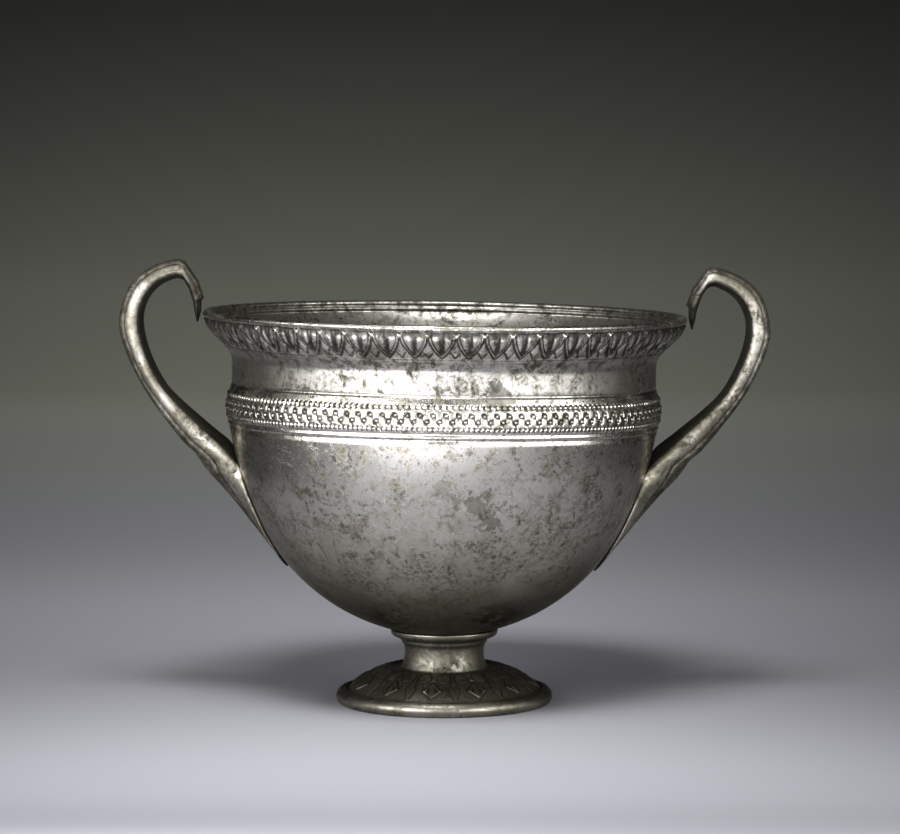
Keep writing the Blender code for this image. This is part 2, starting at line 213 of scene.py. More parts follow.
# Camera and set
CAMERA_PLACE = (0.00168, -1.040, 0.1687)
CAMERA_PITCH = math.radians(4.70)
CAMERA_LENS = 143.9
PAPER_HALF_WIDTH = 3.0
PAPER_HALF_DEPTH = 2.1
PAPER_HEIGHT = 2.5
SWEEP_RADIUS = 0.9
SWEEP_STEPS = 24

# Painted light and shade of the paper: tones of its floor along Y, brightest in front of the cup, and of its
# sweep along the square root of its height, darker upwards
FLOOR_PAINTED_LIGHT_AND_SHADE = (
    (-0.600, 0.85), (-0.280, 0.90), (-0.225, 0.53), (-0.186, 0.29), (-0.154, 0.385), (-0.097, 0.405),
    (-0.033, 0.31), (0.040, 0.24), (0.124, 0.27), (0.222, 0.30), (0.339, 0.26), (0.478, 0.265),
    (0.649, 0.33), (0.863, 0.47), (1.062, 0.66), (1.250, 0.76), (2.100, 0.76),
)
SWEEP_PAINTED_SHADE = (
    (0.0, 1.0), (0.022, 0.91), (0.045, 0.83), (0.067, 0.77), (0.090, 0.71), (0.145, 0.59),
    (0.226, 0.48), (0.277, 0.375), (0.333, 0.30), (0.385, 0.222), (0.431, 0.172), (0.474, 0.127),
    (0.507, 0.10), (0.632, 0.05), (0.837, 0.02),
)
FLOOR_TINT = (0.98, 0.98, 1.08, 1.0)
SWEEP_TINT = (0.96, 1.0, 0.83, 1.0)
PAPER_SHADE = (0.01, 0.01, 0.01, 1.0)

# Softboxes, as place, target, size, power and spread in degrees
SOFTBOXES = {
    "overhead_softbox": ((-0.05, -0.38, 0.85), (0.0, 0.0, 0.0), (0.30, 0.28), 3.0, 110),
    "floor_softbox": ((-0.24, -0.42, 0.36), (-0.24, -0.42, 0.0), (0.50, 0.18), 11.5, 48),
    "left_softbox": ((-0.92, -0.92, 0.34), (0.0, 0.0, 0.10), (1.80, 0.68), 8.9, 90),
    "right_softbox": ((0.92, -0.92, 0.34), (0.0, 0.0, 0.10), (1.70, 0.68), 7.0, 90),
}
STUDIO_GLOW = (0.012, 0.012, 0.012, 1.0)

# Colours of the silver, from bare metal to the black of the recesses; that black is patina in the worked
# hollows and painted shade inside the bowl, on the stem and on the handles' inner sides, and the underside
# colour is part tarnish and part painted shade
BRIGHT_METAL = (0.84, 0.81, 0.74, 1.0)
DULL_METAL = (0.37, 0.345, 0.27, 1.0)
FILM_COLOR = (0.205, 0.190, 0.148, 1.0)
STAIN_COLOR = (0.145, 0.138, 0.112, 1.0)
UNDERSIDE_TARNISH_AND_SHADE_COLOR = (0.060, 0.055, 0.040, 1.0)
FLECK_COLOR = (0.055, 0.050, 0.036, 1.0)
PATINA_AND_SHADE_COLOR = (0.016, 0.015, 0.011, 1.0)
GRAZING_TINT = (0.62, 0.60, 0.57, 1.0)

# Noises of the tarnish, as scale, detail, roughness and distortion
CLOUD = (46.0, 6.0, 0.62, 0.6)
PATCH = (140.0, 7.0, 0.68, 0.5)
BLOT = (340.0, 6.0, 0.66, 0.8)
SPECKLE = (900.0, 5.0, 0.7, 0.0)
GRAIN = (2400.0, 3.0, 0.6, 0.0)
THREAD = (105.0, 8.0, 0.62, 1.2)

# How dark or stained the plain surfaces are: the darkness inside the bowl and on the stem is painted shade,
# that of the neck, collar top and lip is tarnish
INSIDE_PAINTED_SHADE = 0.55
NECK_DARK = 0.51
STEM_PAINTED_SHADE = 0.48
NECK_STAIN = 0.37
COLLAR_TOP_STAIN = 0.47
LIP_STAIN = 0.56


def clamped(value, low=0.0, high=1.0):
    return min(max(value, low), high)


def smooth_share(low, high, value):
    share = clamped((value - low) / (high - low))
    return share * share * (3.0 - 2.0 * share)


def line_mark(distance, width):
    """Strength of an engraved line, from 1 on the line to 0 away from it."""
    return math.exp(-(distance / width) ** 2)


def dome(distance, radius):
    """Height share of a round boss, from 1 at its middle to 0 at its edge."""
    return math.sqrt(max(0.0, 1.0 - (distance / radius) ** 2))


def segment_distance(point, start, end):
    """Distance of a point from a straight stroke."""
    along = Vector(end) - Vector(start)
    offset = Vector(point) - Vector(start)
    share = clamped(offset.dot(along) / along.length_squared)
    return (offset - along * share).length


def tangent_arc(start, direction, end, steps):
    """Points after the start of the arc that leaves it along a direction and reaches the end."""
    chord = Vector(end) - Vector(start)
    turn = Vector(direction).angle_signed(chord)
    points = []
    for step in range(1, steps + 1):
        part = step / steps
        reach = part if abs(turn) < 1e-6 else math.sin(turn * part) / math.sin(turn)
        heading = math.atan2(chord.y, chord.x) + turn * (1.0 - part)
        offset = Vector((math.cos(heading), math.sin(heading))) * chord.length * reach
        points.append(tuple(Vector(start) + offset))
    return points


def round_body(inset, side_steps, round_steps):
    """The bowl's body below the collar, from its shoulder down to the axis, set in by an inset."""
    blend_angle = math.asin((BODY_RADIUS - BODY_BLEND_HEIGHT) / BODY_RADIUS)
    radius = BODY_RADIUS - inset
    blend = (radius * math.cos(blend_angle), BODY_RADIUS - radius * math.sin(blend_angle))
    shoulder = (SHOULDER_RADIUS - inset, LOWER_GROOVE)
    upwards = (math.sin(blend_angle), math.cos(blend_angle))
    side = tangent_arc(blend, upwards, shoulder, side_steps)[::-1]
    points = side[1:] + [blend]
    for step in range(1, round_steps + 1):
        angle = blend_angle + (math.pi / 2 - blend_angle) * step / round_steps
        points.append((radius * math.cos(angle), BODY_RADIUS - radius * math.sin(angle)))
    points[-1] = (0.0, inset)
    return points


def flare_share(height):
    top = BOWL_HEIGHT - LIP_STRIP_HEIGHT - LIP_ROUNDING
    return clamped((height - top) / FLARE_HEIGHT + 1.0)


def flare_radius(height):
    """Outer radius of the lip's double curve, hollow below and round above."""
    widening = RIM_RADIUS - LIP_ROUNDING - NECK_RADIUS
    return NECK_RADIUS + widening * (1.0 - math.cos(math.pi * flare_share(height))) / 2


def flare_slope(height):
    widening = RIM_RADIUS - LIP_ROUNDING - NECK_RADIUS
    return math.pi / 2 * widening / FLARE_HEIGHT * math.sin(math.pi * flare_share(height))


def inner_flare_radius(height):
    return flare_radius(height) - WALL * math.hypot(1.0, flare_slope(height))


def collar_point(share):
    """Point of the bulging collar, from 0 at its upper groove to 1 at its lower groove."""
    base = NECK_RADIUS + (SHOULDER_RADIUS - NECK_RADIUS) * share
    return base + COLLAR_BULGE * math.sin(math.pi * share), UPPER_GROOVE - COLLAR_HEIGHT * share


def outline_distance(side, down, leaf):
    """Distance in metres from a leaf's pointed outline, below zero inside it."""
    full, start, length, power = leaf
    if down > start + length:
        return math.hypot(side * LEAF_HALF_PITCH, (down - start - length) * LEAF_BAND_HEIGHT)
    taper = max((down - start) / length, 0.0)
    lean = full * power * taper ** (power - 1.0) / length * LEAF_HALF_PITCH / LEAF_BAND_HEIGHT
    return (side - full * (1.0 - taper ** power)) * LEAF_HALF_PITCH / math.hypot(1.0, lean)


def leaf_band(angle, height):
    """Rise and darkness of the leaf band: lobed leaves, and beads and darts between them."""
    down = (LEAF_BAND_TOP - height) / LEAF_BAND_HEIGHT
    side = abs((angle / math.tau * LEAF_COUNT + LEAF_TURN + 0.5) % 1.0 - 0.5) * 2.0
    outer = outline_distance(side, down, OUTER_LEAF)
    inner = outline_distance(side, down, INNER_LEAF)
    across = side * LEAF_HALF_PITCH
    gap = LEAF_HALF_PITCH - across
    in_leaf = 1.0 - smooth_share(-0.0002, 0.0001, outer)
    in_lobes = 1.0 - smooth_share(-0.0003, 0.0, inner)
    lobe_width = max(across - inner - 0.0005, 0.0004)
    lobe = math.sin(math.pi * clamped((across - 0.0004) / lobe_width))
    midrib = line_mark(across, 0.00030)
    rise = -LEAF_GROUND + LEAF_RISE * in_leaf * (1.0 - in_lobes)
    oval = smooth_share(0.02, 0.46, down)
    rise += in_lobes * (LOBE_RISE * lobe + MIDRIB_RISE * midrib) * oval
    # The darkening of the lobes' upper ends, under the lip, is painted shade; the midrib and the lobe edges
    # are patina
    lobe_dark = max(0.66 * midrib + 0.50 * (1.0 - lobe), 0.85 * (1.0 - oval))
    dark = 0.30 * (1.0 - in_leaf) + in_lobes * lobe_dark
    stem_line = line_mark(across - 0.00055, 0.00020) * in_lobes
    marks = [line_mark(outer, 0.00034), line_mark(inner, 0.00026), 0.8 * stem_line]
    bead = math.hypot(gap, (down - 0.12) * LEAF_BAND_HEIGHT)
    dart_width = DART_WIDTH * min(clamped((down - 0.26) / 0.49), clamped((0.91 - down) / 0.14))
    dart = smooth_share(-0.00005, 0.00025, dart_width - gap)
    drop = down * LEAF_BAND_HEIGHT
    under_dart = segment_distance((gap, drop), (0.0, 0.93 * LEAF_BAND_HEIGHT), (0.0013, 0.0056))
    marks.append(line_mark(under_dart, 0.00027) * smooth_share(-0.0001, 0.0001, outer))
    if bead < LEAF_BEAD_RADIUS:
        rise, dark, marks = LEAF_BEAD_RISE * dome(bead, LEAF_BEAD_RADIUS) - 0.0001, 0.0, [0.0]
    elif dart > 0.0:
        rise, dark = rise + DART_RISE * dart, dark * (1.0 - dart)
    marks.append(line_mark(bead - 0.00062, 0.00016) * (1.0 - in_lobes))
    cut = max(marks)
    lower_edge = line_mark((1.0 - down) * LEAF_BAND_HEIGHT, 0.0002)
    edge = max(line_mark(drop, 0.00022), 0.7 * lower_edge)
    fade = smooth_share(0.0, 0.04, down) * smooth_share(1.0, 0.97, down)
    return rise * fade - LEAF_LINE_DEPTH * max(cut * fade, edge), max(dark * fade, cut * fade, edge, 0.36)


def bead_row(angle, share):
    """The upper row of the collar: round punched beads, each in a dark ring."""
    across = ((angle / math.tau * BEAD_COUNT) % 1.0 - 0.5) * math.tau * SHOULDER_RADIUS / BEAD_COUNT
    drop = (share - BEAD_ROW) * COLLAR_HEIGHT
    distance = math.hypot(across, drop)
    ground = 0.55 + 0.45 * smooth_share(0.0004, -0.0004, across)
    dark = ground * smooth_share(0.00042, 0.00060, distance)
    return BEAD_RISE * dome(distance, BEAD_SIZE) - 0.00016, dark


def dash_row(angle, share):
    """The lower row of the collar: slanting oval beads close together."""
    drop = (share - DASH_ROW) * COLLAR_HEIGHT
    pitch = math.tau * SHOULDER_RADIUS / DASH_COUNT
    across = ((angle / math.tau * DASH_COUNT + 0.30 * drop / pitch) % 1.0 - 0.5) * pitch
    distance = math.hypot(across * 1.12, drop * 0.88)
    ground = 0.55 + 0.45 * smooth_share(0.0003, -0.0003, across)
    dark = ground * smooth_share(0.00036, 0.00054, distance)
    return DASH_RISE * dome(distance, DASH_SIZE) - 0.00014, dark


def guilloche(angle, share):
    """The middle of the collar: two staggered rows of eyes, joined by slanting bands."""
    pitch = math.tau * SHOULDER_RADIUS / GUILLOCHE_COUNT
    height = COLLAR_HEIGHT * (GUILLOCHE_FOOT - GUILLOCHE_TOP)
    drop = (share - GUILLOCHE_TOP) / (GUILLOCHE_FOOT - GUILLOCHE_TOP) * height
    along = (angle / math.tau * GUILLOCHE_COUNT) % 1.0 * pitch
    rise, dark = GUILLOCHE_RISE, 0.0
    for turn in (-1.0, 0.0, 1.0):
        upper = Vector(((0.25 + turn) * pitch, 0.30 * height))
        lower = Vector(((0.75 + turn) * pitch, 0.71 * height))
        for eye in (upper, lower):
            distance = math.hypot(along - eye.x, drop - eye.y)
            ring = line_mark(distance - EYE_RING_RADIUS, 0.00022)
            rise += EYE_RISE * dome(distance, EYE_RADIUS) - EYE_RING_DEPTH * ring
            dark = max(dark, line_mark(distance - 0.00058, 0.00026))
        strokes = (
            (upper + Vector((0.0005, 0.0003)), upper + Vector((0.30 * pitch, 0.62 * height)), 0.00022),
            (upper - Vector((0.0006, 0.0002)), upper - Vector((0.0001, 0.0007)), 0.00030),
            (lower + Vector((0.0005, -0.0003)), lower + Vector((0.30 * pitch, -0.62 * height)), 0.00022),
            (lower + Vector((-0.0006, 0.0004)), lower + Vector((0.0001, 0.0012)), 0.00026),
        )
        for start, end, width in strokes:
            mark = line_mark(segment_distance((along, drop), start, end), width)
            rise -= BAND_LINE_DEPTH * mark
            dark = max(dark, mark * 0.9)
    return rise, dark


def collar_work(angle, height):
    """Rise and darkness of the worked part of the collar."""
    share = (UPPER_GROOVE - height) / COLLAR_HEIGHT
    if share < BEAD_ROW + 0.062:
        rise, dark = bead_row(angle, share)
        edge = smooth_share(0.062, 0.05, BEAD_ROW - share)
        return rise * edge, dark * edge
    if share > DASH_ROW - 0.055:
        rise, dark = dash_row(angle, share)
        edge = smooth_share(0.055, 0.04, share - DASH_ROW)
        return rise * edge, dark * edge
    rise, dark = guilloche(angle, share)
    dark = max(dark, 0.32)
    border = max(line_mark((share - row) * COLLAR_HEIGHT, BORDER_WIDTH) for row in COLLAR_BORDERS)
    return rise - 0.0001 * border, max(dark, 0.7 * border)


def palmette_band(angle, height):
    """Rise and darkness of the foot's band: palmettes with spikes and bosses between them."""
    fall = BASE_SHOULDER_HEIGHT - BASE_EDGE_HEIGHT
    spread = BASE_RADIUS - BASE_EDGE_WIDTH - BASE_SHOULDER_RADIUS
    down = (BASE_SHOULDER_HEIGHT - height) / fall
    radius = BASE_SHOULDER_RADIUS + spread * down
    half = math.pi * radius / PALMETTE_COUNT
    length = math.hypot(spread, fall)
    side = abs((angle / math.tau * PALMETTE_COUNT + PALMETTE_TURN + 0.5) % 1.0 - 0.5) * 2.0
    across, drop = side * half, down * length
    middle = PALMETTE_MIDDLE * length
    bead_drop = drop - PALMETTE_BEAD_PLACE * length
    diamond = abs(drop - middle) / (PALMETTE_HALF_LENGTH * length) + across / PALMETTE_HALF_WIDTH
    diamond = (diamond - 1.0) * 0.0018
    rise, dark = -0.0001, 0.46
    if diamond < 0.0:
        fan = math.atan2(across, max(bead_drop, 0.0001))
        ribs = 0.5 + 0.5 * math.cos(fan * RIB_FREQUENCY)
        rise, dark = 0.00008 + RIB_RISE * ribs, 0.95 * (1.0 - ribs)
        rim = line_mark(diamond + 0.0003, 0.00022)
        rise, dark = max(rise, 0.0003 * rim), max(dark * (1.0 - rim), 0.5 * rim)
    marks = [line_mark(diamond - 0.0001, 0.00026)]
    rise += 0.00035 * dome(math.hypot(across, bead_drop), 0.0005)
    spike = half - across
    width = 0.00035 + 0.0011 * clamped((down - 0.25) / 0.3) * clamped((0.93 - down) / 0.35)
    marks.append(line_mark(spike - width, PALMETTE_LINE_WIDTH) * smooth_share(0.95, 0.9, down))
    rise += 0.00020 * smooth_share(0.0001, -0.0001, spike - width)
    boss = math.hypot((across - 0.52 * half) / 0.0017, (drop - 0.18 * length) / 0.0019)
    rise += 0.00022 * dome(boss, 1.0)
    dark *= 1.0 - 0.2 * dome(boss, 1.0)
    marks.append(line_mark((boss - 1.08) * 0.0018, PALMETTE_LINE_WIDTH))
    stalk = segment_distance((across, drop), (0.45 * half, 0.42 * length), (PALMETTE_HALF_WIDTH, middle))
    marks.append(line_mark(stalk, PALMETTE_LINE_WIDTH))
    cut = max(marks)
    fade = smooth_share(0.0, 0.05, down) * smooth_share(1.0, 0.96, down)
    edge = line_mark(drop, 0.00025)
    return rise * fade - PALMETTE_LINE_DEPTH * cut * fade, max(dark, cut, edge)


def spin_zone(bm, profile, segments):
    """Turn a profile of radii and heights about Z, one sector first and then its copies."""
    turned = bmesh.new()
    turned.verts.layers.float.new("patina_and_painted_shade")
    verts = [turned.verts.new((radius, 0.0, height)) for radius, height in profile]
    edges = [turned.edges.new(pair) for pair in zip(verts, verts[1:])]
    middle, axis = (0, 0, 0), (0, 0, 1)
    bmesh.ops.spin(
        turned, geom=verts + edges, cent=middle, axis=axis, angle=math.tau / SECTORS,
        steps=segments // SECTORS,
    )
    bmesh.ops.spin(
        turned, geom=turned.verts[:] + turned.edges[:] + turned.faces[:], cent=middle, axis=axis,
        angle=math.tau, steps=SECTORS, use_duplicate=True,
    )
    bmesh.ops.remove_doubles(turned, verts=turned.verts, dist=MERGE_DISTANCE)
    zone = bpy.data.meshes.new("zone")
    turned.to_mesh(zone)
    turned.free()
    before = len(bm.verts)
    bm.from_mesh(zone)
    bpy.data.meshes.remove(zone)
    bm.verts.ensure_lookup_table()
    return bm.verts[before:]


def open_ring(verts, point):
    """The open edges of the ring that the profile point swept."""
    radius, height = point

    def on_ring(vert):
        off_height = abs(vert.co.z - height)
        off_radius = abs(math.hypot(vert.co.x, vert.co.y) - radius)
        return off_height < MERGE_DISTANCE and off_radius < MERGE_DISTANCE

    ring = {edge for vert in verts if on_ring(vert) for edge in vert.link_edges if edge.is_boundary}
    return [edge for edge in ring if all(on_ring(vert) for vert in edge.verts)]


def work_surface(bm, verts, work):
    """Raise a zone's points square to the axis by its work, and keep how dark each point is."""
    patina_and_painted_shade = bm.verts.layers.float["patina_and_painted_shade"]
    for vert in verts:
        rise, dark = work(math.atan2(vert.co.y, vert.co.x), vert.co.z)
        scale = 1.0 + rise / math.hypot(vert.co.x, vert.co.y)
        vert.co.x *= scale
        vert.co.y *= scale
        vert[patina_and_painted_shade] = dark


def turned_mesh(zones):
    """One surface from zones of a profile, each with its own number of sides and its own work."""
    bm = bmesh.new()
    bm.verts.layers.float.new("patina_and_painted_shade")
    swept = [spin_zone(bm, profile, segments) for profile, segments, _ in zones]
    for index in range(len(zones) - 1):
        end = open_ring(swept[index], zones[index][0][-1])
        start = open_ring(swept[index + 1], zones[index + 1][0][0])
        bmesh.ops.bridge_loops(bm, edges=end + start)
    for verts, (_, _, work) in zip(swept, zones):
        if work:
            work_surface(bm, verts, work)
    return bm


def spaced(start, end, steps):
    return [start + (end - start) * step / steps for step in range(steps + 1)]


def inner_profile():
    """The inside, from the middle of the bottom to just under the lip."""
    points = round_body(WALL, 14, 20)[::-1]
    points.append((SHOULDER_RADIUS - WALL, LOWER_GROOVE))
    points.append(((SHOULDER_RADIUS + NECK_RADIUS) / 2 - WALL, (UPPER_GROOVE + LOWER_GROOVE) / 2))
    heights = spaced(UPPER_GROOVE, BOWL_HEIGHT - 0.0039, 14)
    return points + [(inner_flare_radius(height), height) for height in heights]


def lip_profile():
    """The lip: a fine moulding inside, a flat top, and a narrow strip outside."""
    offsets = (
        (-0.00205, -0.0036), (-0.00195, -0.0033), (-0.00200, -0.0031), (-0.00235, -0.0029),
        (-0.00255, -0.0026), (-0.00255, -0.0023), (-0.00235, -0.0020), (-0.00205, -0.0018),
        (-0.00200, -0.0015), (-0.00225, -0.0012), (-0.00234, -0.0009), (-0.00232, -0.0006),
        (-0.00215, -0.0003), (-0.00180, -0.0001), (-0.00120, 0.0), (-0.00060, 0.0),
        (-0.00025, -0.0002), (-0.00006, -0.0005), (0.0, -0.0009), (-0.00010, -0.0012),
        (-0.00035, -0.0015), (-0.00055, -0.0017),
    )
    return [(RIM_RADIUS + out, BOWL_HEIGHT + up) for out, up in offsets]


def neck_profile():
    """The neck, from under the leaf band to the top of the collar's work."""
    heights = spaced(LEAF_BAND_TOP - LEAF_BAND_HEIGHT - 0.0002, UPPER_GROOVE + 0.0006, 12)
    points = [(flare_radius(height), height) for height in heights]
    points.append((NECK_RADIUS - 0.00005, UPPER_GROOVE + 0.0003))
    points.append((NECK_RADIUS - GROOVE_DEPTH, UPPER_GROOVE))
    return points + [collar_point(share) for share in (0.025, 0.06, 0.10, 0.14, 0.17)]


def body_profile():
    """The body, from under the collar's work to the middle of the underside."""
    ridge = ((0.83, -0.0001), (0.87, -0.0002), (0.90, 0.0), (0.93, 0.0002), (0.96, 0.0001), (0.98, 0.0))
    points = [(collar_point(share)[0] + rise, collar_point(share)[1]) for share, rise in ridge]
    points.append((SHOULDER_RADIUS - GROOVE_DEPTH, LOWER_GROOVE))
    points.append((SHOULDER_RADIUS - 0.00005, LOWER_GROOVE - 0.0004))
    return points + round_body(0.0, 16, 24)


def bowl_zones():
    leaf_heights = spaced(LEAF_BAND_TOP, LEAF_BAND_TOP - LEAF_BAND_HEIGHT, 23)
    collar_shares = spaced(*WORKED_COLLAR, 24)
    return [
        (inner_profile() + lip_profile(), PLAIN_SEGMENTS, None),
        ([(flare_radius(height), height) for height in leaf_heights], WORKED_SEGMENTS, leaf_band),
        (neck_profile(), PLAIN_SEGMENTS, None),
        ([collar_point(share) for share in collar_shares], WORKED_SEGMENTS, collar_work),
        (body_profile(), PLAIN_SEGMENTS, None),
    ]


def bowl_origin():
    """Where the middle of the bowl's underside lies."""
    drop = BODY_RADIUS - math.sqrt(BODY_RADIUS ** 2 - SEAT_RADIUS ** 2)
    return Vector((BOWL_OFFSET, 0.0, FOOT_HEIGHT - drop + SEAT_GAP))


def bowl_place():
    return Matrix.Translation(bowl_origin()) @ Matrix.Rotation(BOWL_LEAN, 4, "Y")


def finish_piece(name, bm, material, node):
    """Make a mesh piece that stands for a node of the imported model."""
    bmesh.ops.recalc_face_normals(bm, faces=bm.faces)
    mesh = bpy.data.meshes.new(name)
    bm.to_mesh(mesh)
    bm.free()
    mesh.shade_smooth()
    mesh.materials.append(material)
    piece = bpy.data.objects.new(name, mesh)
    bpy.context.scene.collection.objects.link(piece)
    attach(piece, "root")
    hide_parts(node)
    return piece


def hammer_bowl(bm):
    """Give the wall the slow unevenness of raised silver, and the collar its rise at front and back."""
    for vert in bm.verts:
        radius = math.hypot(vert.co.x, vert.co.y)
        if radius < 0.001:
            continue
        height = vert.co.z
        below_lip = smooth_share(BOWL_HEIGHT - 0.002, BOWL_HEIGHT - 0.012, height)
        over_foot = smooth_share(0.010, 0.022, height)
        at_sides = abs(vert.co.x) / radius
        clear_of_plates = 1.0 - smooth_share(0.90, 0.97, at_sides)
        direction = Vector((vert.co.x / radius, vert.co.y / radius, height / RIM_RADIUS))
        waves = (noise.noise(direction * often + Vector(shift)) * depth for often, depth, shift in WALL_WAVES)
        scale = 1.0 + sum(waves) * below_lip * over_foot * clear_of_plates / radius
        vert.co.x *= scale
        vert.co.y *= scale
        facing = 1.0 - at_sides ** 2
        below_leaves = smooth_share(BOWL_HEIGHT - 0.009, BOWL_HEIGHT - 0.018, height)
        vert.co.z += COLLAR_SWAY * smooth_share(0.040, 0.062, height) * below_leaves * facing


def stain_bowl(bm):
    """Keep where the bowl's stains lie on its outside, the painted shade that darkens its inside, and how
    dark the tarnish of its neck is.
    """
    stain = bm.verts.layers.float.new("stain")
    patina_and_painted_shade = bm.verts.layers.float["patina_and_painted_shade"]
    for vert in bm.verts:
        radius, height = vert.co.xy.length, vert.co.z
        if height > LOWER_GROOVE:
            outside = radius > flare_radius(height) - WALL / 2
        else:
            outside = math.hypot(radius, height - BODY_RADIUS) > BODY_RADIUS - WALL / 2
        if not outside:
            # Painted shade: the whole inside of the bowl is darkened
            vert[patina_and_painted_shade] = INSIDE_PAINTED_SHADE
        elif height > UPPER_GROOVE - 0.0030:
            on_collar = smooth_share(0.0015, 0.0, abs(height - UPPER_GROOVE + 0.0012))
            on_lip = smooth_share(BOWL_HEIGHT - 0.0022, BOWL_HEIGHT - 0.0016, height)
            vert[stain] = max(NECK_STAIN, COLLAR_TOP_STAIN * on_collar, LIP_STAIN * on_lip)
            if UPPER_GROOVE + 0.0004 < height < LEAF_BAND_TOP - LEAF_BAND_HEIGHT:
                vert[patina_and_painted_shade] = NECK_DARK
        for x, z, size in STAINS:
            if vert.co.y < 0.0:
                reach = math.hypot(vert.co.x - x, height - z) / size
                vert[stain] = max(vert[stain], 1.0 - 0.5 * reach)


def make_bowl(material):
    bm = turned_mesh(bowl_zones())
    stain_bowl(bm)
    hammer_bowl(bm)
    bmesh.ops.transform(bm, matrix=bowl_place(), verts=bm.verts)
    return finish_piece("worked_bowl", bm, material, "bowl")


def seat_height(x, y):
    """Height of the foot's seat at a place, a gap below the round underside of the leaning bowl."""
    centre = bowl_origin() + Vector((math.sin(BOWL_LEAN), 0.0, math.cos(BOWL_LEAN))) * BODY_RADIUS
    reach = BODY_RADIUS + SEAT_GAP
    return centre.z - math.sqrt(reach ** 2 - (x - centre.x) ** 2 - y ** 2)


def base_slope(steps):
    """The convex band of the base, from its shoulder out to the groove inside the edge."""
    shoulder = (BASE_SHOULDER_RADIUS, BASE_SHOULDER_HEIGHT)
    groove = (BASE_RADIUS - BASE_EDGE_WIDTH, BASE_EDGE_HEIGHT)
    outwards = (math.cos(BASE_SHOULDER_SLOPE), -math.sin(BASE_SHOULDER_SLOPE))
    return [shoulder] + tangent_arc(shoulder, outwards, groove, steps)


def curve_through(points, steps):
    """Points on a smooth curve through the given ones."""
    ends = [points[0]] + list(points) + [points[-1]]
    curve = []
    for before, start, end, after in zip(ends, ends[1:], ends[2:], ends[3:]):
        for step in range(steps):
            part = step / steps
            curve.append(tuple(
                b + 0.5 * part * (c - a + part * (2 * a - 5 * b + 4 * c - d + part * (3 * (b - c) + d - a)))
                for a, b, c, d in zip(before, start, end, after)
            ))
    return curve + [tuple(points[-1])]


def stem_profile():
    """The ring under the bowl and the waisted stem, down to the base's shoulder."""
    ring_foot = FOOT_HEIGHT - SEAT_RING_HEIGHT
    ring = [
        (SEAT_RADIUS, FOOT_HEIGHT),
        (SEAT_RADIUS, FOOT_HEIGHT - 0.0005),
        (SEAT_RADIUS - 0.0002, ring_foot + 0.0002),
        (SEAT_RADIUS - 0.0006, ring_foot - 0.0002),
    ]
    waist = (ring_foot + STEM_FOOT_HEIGHT) / 2
    stem = curve_through([
        (SEAT_RADIUS - 0.0014, ring_foot - 0.0006),
        (SEAT_RADIUS - SEAT_WIDTH - 0.0010, ring_foot - 0.0011),
        (STEM_RADIUS + 0.0009, ring_foot - 0.0021),
        (STEM_RADIUS + 0.0002, ring_foot - 0.0032),
        (STEM_RADIUS, waist - 0.0005),
        (STEM_RADIUS + 0.0003, waist - 0.0025),
        (STEM_RADIUS + STEM_FOOT_FLARE, STEM_FOOT_HEIGHT + 0.0004),
    ], 4)
    shoulder = [
        (STEM_RADIUS + STEM_FOOT_FLARE + 0.0003, STEM_FOOT_HEIGHT),
        (BASE_SHOULDER_RADIUS - 0.0026, STEM_FOOT_HEIGHT),
        (BASE_SHOULDER_RADIUS - 0.0012, BASE_SHOULDER_HEIGHT - 0.0004),
        (BASE_SHOULDER_RADIUS - 0.0005, BASE_SHOULDER_HEIGHT),
    ]
    return ring + stem + shoulder


def edge_profile():
    """The rolled edge of the base and its hollow underside."""
    groove = BASE_RADIUS - BASE_EDGE_WIDTH
    edge = [
        (groove + 0.0002, BASE_EDGE_HEIGHT - 0.0004),
        (groove + 0.0005, BASE_EDGE_HEIGHT - 0.0001),
        (groove + 0.0008, BASE_EDGE_HEIGHT + 0.0002),
        (groove + 0.0011, BASE_EDGE_HEIGHT),
        (groove + 0.0013, BASE_EDGE_HEIGHT - 0.0003),
        (groove + 0.0018, BASE_EDGE_HEIGHT),
    ]
    roll = curve_through([
        (groove + 0.0023, BASE_EDGE_HEIGHT - 0.0001),
        (BASE_RADIUS - 0.0006, BASE_EDGE_HEIGHT - 0.0008),
        (BASE_RADIUS - 0.0001, BASE_EDGE_HEIGHT - 0.0018),
        (BASE_RADIUS - 0.0001, BASE_EDGE_HEIGHT - 0.0028),
        (BASE_RADIUS - 0.0006, 0.0004),
        (BASE_RADIUS - 0.0013, 0.0),
    ], 4)
    slope = base_slope(8)
    hollow = [(radius - BASE_WALL / 2, height - BASE_WALL) for radius, height in slope[6::-1]]
    return edge + roll + [(groove, 0.0), (groove - 0.0006, 0.0010)] + hollow


def foot_zones():
    throat = STEM_RADIUS - STEM_WALL
    ring_foot = FOOT_HEIGHT - SEAT_RING_HEIGHT
    bore = [
        (throat + 0.0008, STEM_FOOT_HEIGHT - BASE_WALL),
        (throat, STEM_FOOT_HEIGHT - BASE_WALL + 0.0008),
        (throat, ring_foot - 0.0030),
        (throat + 0.0006, ring_foot - 0.0018),
        (SEAT_RADIUS - SEAT_WIDTH - 0.0004, FOOT_HEIGHT - 0.0006),
        (SEAT_RADIUS - SEAT_WIDTH, FOOT_HEIGHT),
    ]
    return [
        (stem_profile(), STEM_SEGMENTS, None),
        (base_slope(34), PALMETTE_SEGMENTS, palmette_band),
        (edge_profile(), 3 * STEM_SEGMENTS, None),
        (bore, STEM_SEGMENTS, None),
    ]


